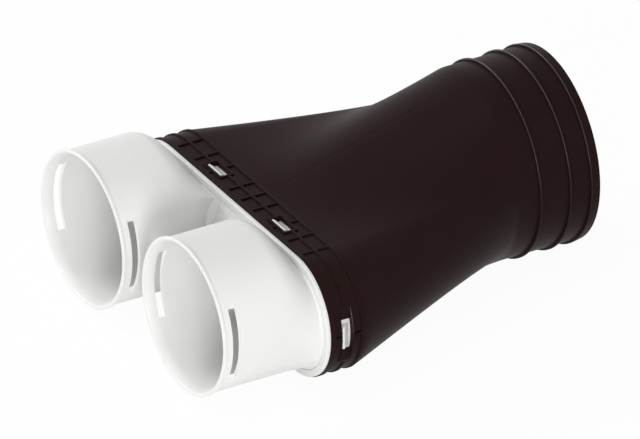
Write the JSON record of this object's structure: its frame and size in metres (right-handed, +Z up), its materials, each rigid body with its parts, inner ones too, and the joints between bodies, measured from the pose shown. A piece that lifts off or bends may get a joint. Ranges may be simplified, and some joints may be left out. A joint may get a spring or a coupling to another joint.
{
  "type": "flexible duct adapter",
  "caption": "Duct adapter: round collars for flexible ducts on an oblong snap-in plate, and a ribbed body that tapers into a round spigot with fins.",
  "frame": {"origin": "bottom centre of the bounding box", "axes": "+Y from the collar mouths to the spigot's end, +Z up, X along the flat side"},
  "size_m": [0.1916, 0.2374, 0.1024],
  "materials": {
    "dark_plastic": "satin moulded",
    "white_plastic": "satin moulded"
  },
  "bodies": {
    "root": {"transition_body": "dark_plastic", "twin_collar_plate": "white_plastic"}
  },
  "joints": []
}
